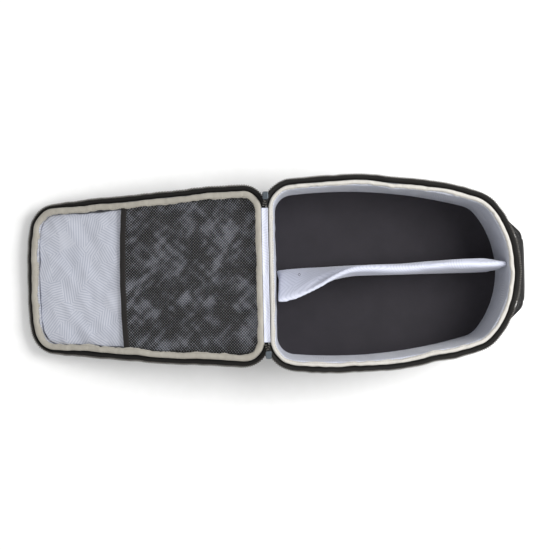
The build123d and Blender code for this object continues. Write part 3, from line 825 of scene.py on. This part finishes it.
def hingeCloth(name, material, node, drop, thick):
    bodyEdge = Vector((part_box("heel_wall")[0].x - 0.4 * mm, 0, bodyRim - 1.6 * mm - drop))
    lidEdge = lidPlace @ Vector((lineAt(lidLine, 0, 0, 0).x + 0.2 * mm, 0, lidHeights["rim"] - 0.9 * mm - drop))

    def placeAt(u, v):
        y = (u * 2 - 1) * (heelHalf + 1.5 * mm)
        spot = bodyEdge.lerp(lidEdge, v)
        folds = noise.noise(Vector((y * 60, v * 1.2, 7.0))) * 1.3 + noise.noise(Vector((y * 22, v, 9.0)))
        spot.z += sin(pi * v) * (folds * hingeLook["crease"] - hingeLook["sag"])
        spot.x += sin(pi * v) * noise.noise(Vector((y * 30, 4.0, drop * 900))) * 0.5 * mm
        spot.y = y
        return spot

    bm = wrapGrid(150, 12, placeAt, lambda u, v: (u * 2 * heelHalf, v * 12 * mm))
    bmesh.ops.solidify(bm, geom=list(bm.faces), thickness=thick)
    # the lining is attached to the body, and the strip to neither rim: it stays between them as it is made
    folded = node == "hinge_lining"
    piece = finishPiece(bm, name, material, "body" if folded else None, [node])
    if folded:
        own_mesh(piece)
    else:
        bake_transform(piece)


# the hinge lining takes the lighter copy of the lining colour, which is painted light
hingeCloth("hingeLining", paintedLitLining, "hinge_lining", 0.0, hingeLook["lining"])
hingeCloth("hingeStrip", outerPolyester, "hinge_strip", 1.6 * mm, hingeLook["strip"])
print("hinge done")


# Padded pieces: each is remeshed, blown up a little by Cloth, capped and smoothed.

def padPiece(bm, name, material, body, nodes, voxel, pressure, cap, held, uvAt):
    mesh = bpy.data.meshes.new(name)
    bmesh.ops.recalc_face_normals(bm, faces=bm.faces)
    bm.to_mesh(mesh)
    bm.free()
    piece = bpy.data.objects.new(name, mesh)
    bpy.context.scene.collection.objects.link(piece)
    remesh = piece.modifiers.new("remesh", "REMESH")
    remesh.mode = "VOXEL"
    remesh.voxel_size = voxel
    graph = bpy.context.evaluated_depsgraph_get()
    piece.data = bpy.data.meshes.new_from_object(piece.evaluated_get(graph))
    piece.modifiers.clear()
    group = piece.vertex_groups.new(name="held")
    group.add([v.index for v in piece.data.vertices if held(v.co)], 1.0, "REPLACE")
    before = [v.co.copy() for v in piece.data.vertices]
    settled = settledCloth(piece, 20, pressure=pressure, weight=0.0)
    for vert, start in zip(settled.vertices, before):
        moved = vert.co - start
        vert.co = start + moved * min(1.0, cap / max(moved.length, 1e-9))
    piece.data = settled
    piece.vertex_groups.clear()
    bm = bmesh.new()
    bm.from_mesh(piece.data)
    for _ in range(3):
        bmesh.ops.smooth_vert(bm, verts=bm.verts, factor=0.5, use_axis_x=True, use_axis_y=True, use_axis_z=True)
    bpy.data.objects.remove(piece)
    layFlat(bm, uvAt)
    piece = finishPiece(bm, name, material, body, nodes, recalc=False)   # Remesh turned them outwards
    rounded = piece.modifiers.new("rounded", "SUBSURF")
    rounded.levels = rounded.render_levels = 1
    return piece


dividerLook = {"thick": 8.4 * mm, "heelLean": -44 * mm, "toeLean": 8 * mm, "voxel": 3.1 * mm, "cap": 3.4 * mm}
dividerLow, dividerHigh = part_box("divider_cover")
dividerSeam = Vector((0, 4 * mm, dividerLow.z + 0.4 * mm))


def dividerLeanAt(x):
    along = (x - dividerLow.x) / (dividerHigh.x - dividerLow.x)
    heel = smooth((0.36 - along) / 0.36) * dividerLook["heelLean"]
    return heel + smooth((along - 0.3) / 0.7) * dividerLook["toeLean"]


def dividerWall():
    # a foam wall sewn to the floor, standing loose above it: it leans over at its heel end
    top = dividerHigh.z - 1.5 * mm
    half = dividerLook["thick"] / 2
    rows = 16
    section = [(-half, i / rows) for i in range(rows + 1)] + [(half, i / rows) for i in range(rows, -1, -1)]
    low, high = dividerLow.x - 2.5 * mm, dividerHigh.x + 4.6 * mm

    def placeAt(u, v):
        side, h = section[round(v * len(section)) % len(section)]
        x = low + (high - low) * u
        taper = 0.82 + 0.18 * min(1.0, min(u, 1 - u) / 0.02) ** 0.5
        shoulder = 1.0 - 0.3 * max(0.0, (h - 0.94) / 0.06)
        wave = noise.noise(Vector((x * 16, h * 0.9, 2.0))) * 2.0 * mm * h
        lean = dividerLeanAt(x) * h ** 1.25
        down = 2.5 * mm * max(0.0, (u - 0.965) / 0.035) ** 2 * h
        return Vector((x, dividerSeam.y + lean + wave + side * taper * shoulder,
                       dividerSeam.z + (top - dividerSeam.z) * h - down))

    bm = wrapGrid(120, len(section), placeAt, lambda u, v: (u, v))
    bmesh.ops.holes_fill(bm, edges=[e for e in bm.edges if e.is_boundary], sides=len(section))
    # the divider takes the lighter copy of the lining colour, which is painted light
    padPiece(bm, "dividerWall", paintedLitLining, "divider", ["divider_cover", "divider_foam"],
             dividerLook["voxel"], 4.0, dividerLook["cap"], lambda spot: spot.z < dividerSeam.z + 5 * mm,
             lambda spot: (spot.x, spot.z + spot.y))


dividerWall()
print("divider done")

gripSize = {"voxel": 2.2 * mm, "cap": 1.6 * mm}
gripLow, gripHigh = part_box("handle_grip")


def gripPad():
    # the grip is a sleeve of cloth over a foam strip, wrapped round the middle of the webbing
    middle = (gripLow + gripHigh) / 2
    size = gripHigh - gripLow
    bm = bmesh.new()
    bmesh.ops.create_cube(bm, size=1.0)
    bmesh.ops.subdivide_edges(bm, edges=bm.edges, cuts=5, use_grid_fill=True)
    for vert in bm.verts:
        ends = 1 - 0.25 * smooth((abs(vert.co.y) - 0.36) / 0.14)
        vert.co = Vector((middle.x - 0.6 * mm + vert.co.x * (size.x + 0.6 * mm), middle.y + vert.co.y * size.y,
                          middle.z + vert.co.z * size.z * ends * 0.96))
    padPiece(bm, "handleGrip", paddedCloth, "handle", ["handle_grip"], gripSize["voxel"], 4.0,
             gripSize["cap"], lambda spot: abs(spot.y) > middle.y + size.y / 2 - 2 * mm,
             lambda spot: (spot.y, spot.z + spot.x))


gripPad()


# Stitching.

stitchLook = {"pitch": 3.6 * mm, "share": 0.62, "wide": 0.55 * mm, "high": 0.45 * mm}


def stitchRow(name, material, body, length, pathAt, place=None):
    bm = bmesh.new()
    count = round(length / stitchLook["pitch"])
    for i in range(count):
        a, b = pathAt(i / count), pathAt((i + stitchLook["share"]) / count)
        ahead = b - a
        if ahead.length > 2 * stitchLook["pitch"] or ahead.length < 0.1 * mm:
            continue
        turn = ahead.to_track_quat("X", "Z").to_matrix().to_4x4()
        size = Matrix.Diagonal((ahead.length, stitchLook["wide"], stitchLook["high"], 1.0))
        bmesh.ops.create_cube(bm, size=1.0, matrix=Matrix.Translation((a + b) / 2) @ turn @ size)
    bmesh.ops.bevel(bm, geom=bm.edges[:], offset=0.16 * mm, affect="EDGES", segments=1, profile=0.5,
                    material=-1)
    finishPiece(bm, name, material, body, (), place)


def bindingSeam(line, rim, inset, seed):
    def pathAt(u):
        sideways, upwards = waveAt(u % 1.0, seed)
        return lineAt(line, u, -inset + sideways, rim + upwards)
    return pathAt


stitchRow("lidBindingStitches", paleThread, "lid", lidLine["length"],
          bindingSeam(lidLine, lidHeights["rim"] - 0.65 * mm, 8.2 * mm, lidSeed), lidPlace)
stitchRow("bodyBindingStitches", paleThread, "body", bodyLine["length"],
          bindingSeam(bodyLine, bodyRim - 0.6 * mm, 5.6 * mm, bodySeed))


def wallSeam(h):
    # just outside the wall's surface, so that the thread lies on it
    low, high = shellLook["base"], bodyRim - 6 * mm

    def pathAt(u):
        return lineAt(bodyLine, u, wallSwell(u % 1.0, h) + 0.1 * mm, low + (high - low) * h)
    return pathAt


gussetSeam = 88 * mm   # the height of the upright seams
stitchRow("baseSeamStitches", darkThread, "body", bodyLine["length"], wallSeam(0.045))
for side, sign in (("Left", 1), ("Right", -1)):
    # the heel wall is joined to the side gusset by an upright seam, stitched down on both sides
    joinX = max(p.x for p in spotsOf("heel_wall", flat))
    joinU = min((i / 960 for i in range(960) if lineAt(bodyLine, i / 960, 0, 0).y * sign > 0),
                key=lambda u: abs(lineAt(bodyLine, u, 0, 0).x - joinX))
    for step in (-3 * mm, 3 * mm):
        at = joinU + step / bodyLine["length"]
        name = "gussetStitches" + side + ("Front" if step > 0 else "Back")
        stitchRow(name, darkThread, "body",
                  gussetSeam, lambda t, at=at: wallSeam(0.05 + 0.9 * t)(at))
for side, share in (("Mouth", 0.88), ("Net", 0.12)):
    startX, endX = elasticEnds
    rowX = startX + (endX - startX) * share
    halfY = pocketWidth(rowX) - 8 * mm

    def rowAt(t, rowX=rowX, halfY=halfY):
        y = (t * 2 - 1) * halfY
        return Vector((rowX + mouthBow(y), y, lidHeights["mesh"] + elasticLift["seam"] + mouthWave(y)))

    stitchRow("elasticStitches" + side, darkThread, "lid", 2 * halfY, rowAt, lidPlace)


def anchorStitches():
    # a box of stitching with a cross in it holds each end of the handle
    for side in ("left", "right"):
        tab = frame["nodes"]["handle_anchor_" + side]
        low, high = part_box("handle_anchor_" + side)
        sign = 1 if high.y > 0 else -1
        middle = (low + high) / 2
        normal = Vector((1, sign, 0)).normalized()
        along = Vector((1, -sign, 0)).normalized()
        face = max(vert.co.dot(normal) for vert in tab.data.vertices) + 0.15 * mm
        centre = middle + normal * (face - middle.dot(normal))
        size = 8.5 * mm   # half the side of the box
        corners = [centre + along * a * size + Vector((0, 0, b * size))
                   for a, b in ((-1, -1), (1, -1), (1, 1), (-1, 1), (-1, -1), (1, 1), (-1, 1), (1, -1))]
        walk = [(corners[i], corners[i + 1]) for i in (0, 1, 2, 3, 4, 6)]

        def pathAt(t, walk=walk):
            step = min(t * len(walk), len(walk) - 0.001)
            start, end = walk[floor(step)]
            return start.lerp(end, step - floor(step))

        stitchRow("anchorStitches" + side.capitalize(), darkThread, "body",
                  13.6 * size, pathAt)   # four sides and two diagonals


anchorStitches()
print("stitching done")


# Floor, light and camera.

stageLook = {"dark": "#f2f2f1", "light": "#f8f8f8", "rough": 0.8, "grain": 60.0, "half": 6.0, "sky": 0.62,
             "aim": (-0.1, 0, 0)}
lamps = {"key": {"spot": (1.0, 0.25, 1.25), "size": 0.9, "power": 30.0},
         "fill": {"spot": (-0.6, -0.5, 1.9), "size": 1.4, "power": 6.0}}
cameraLook = {"spot": (-0.161, 0.0, 1.70), "lens": 76.0, "sensor": 36.0, "roll": -1.2}
floorMaterial, floorTree, floorOutput = newMaterial("paintedStudioFloor")
floorCoords = addNode(floorTree, "ShaderNodeTexCoord")
floorGrain = addNode(floorTree, "ShaderNodeTexNoise", {"Scale": stageLook["grain"]},
                     {"Vector": (floorCoords, "Object")})
floorTint = addNode(floorTree, "ShaderNodeMix", {6: linear(stageLook["dark"]), 7: linear(stageLook["light"])},
                    {"Factor": (floorGrain, "Fac")}, data_type="RGBA")
floorShader = addNode(floorTree, "ShaderNodeBsdfPrincipled", {"Roughness": stageLook["rough"]},
                      {"Base Color": (floorTint, 2)})
floorTree.links.new(floorShader.outputs["BSDF"], floorOutput.inputs["Surface"])
stageMesh = bmesh.new()
bmesh.ops.create_grid(stageMesh, x_segments=1, y_segments=1, size=stageLook["half"])
floorMesh = bpy.data.meshes.new("studioFloor")
stageMesh.to_mesh(floorMesh)
stageMesh.free()
floorMesh.materials.append(floorMaterial)
studioFloor = bpy.data.objects.new("studioFloor", floorMesh)
bpy.context.scene.collection.objects.link(studioFloor)

scene = bpy.context.scene
world = bpy.data.worlds.new("studioSky")
world.use_nodes = True
world.node_tree.nodes["Background"].inputs["Color"].default_value = (1, 1, 1, 1)
world.node_tree.nodes["Background"].inputs["Strength"].default_value = stageLook["sky"]
scene.world = world
for name, look in lamps.items():
    lamp = bpy.data.lights.new(name, "AREA")
    lamp.size = look["size"]
    lamp.energy = look["power"]
    lampObject = bpy.data.objects.new(name, lamp)
    lampObject.location = look["spot"]
    aim = Vector(stageLook["aim"]) - Vector(look["spot"])
    lampObject.rotation_euler = aim.to_track_quat("-Z", "Y").to_euler()
    scene.collection.objects.link(lampObject)

camera = bpy.data.cameras.new("camera")
camera.lens = cameraLook["lens"]
camera.sensor_width = cameraLook["sensor"]
cameraObject = bpy.data.objects.new("camera", camera)
cameraObject.location = cameraLook["spot"]
cameraObject.rotation_euler = (0.0, 0.0, radians(cameraLook["roll"]))
scene.collection.objects.link(cameraObject)
scene.camera = cameraObject
scene.view_settings.view_transform = "Standard"

heavy = sorted(((sum(len(face.vertices) - 2 for face in piece.data.polygons), piece.name)
                for piece in bpy.data.objects if piece.type == "MESH"), reverse=True)
print("triangles", sum(count for count, name in heavy), heavy[:6])
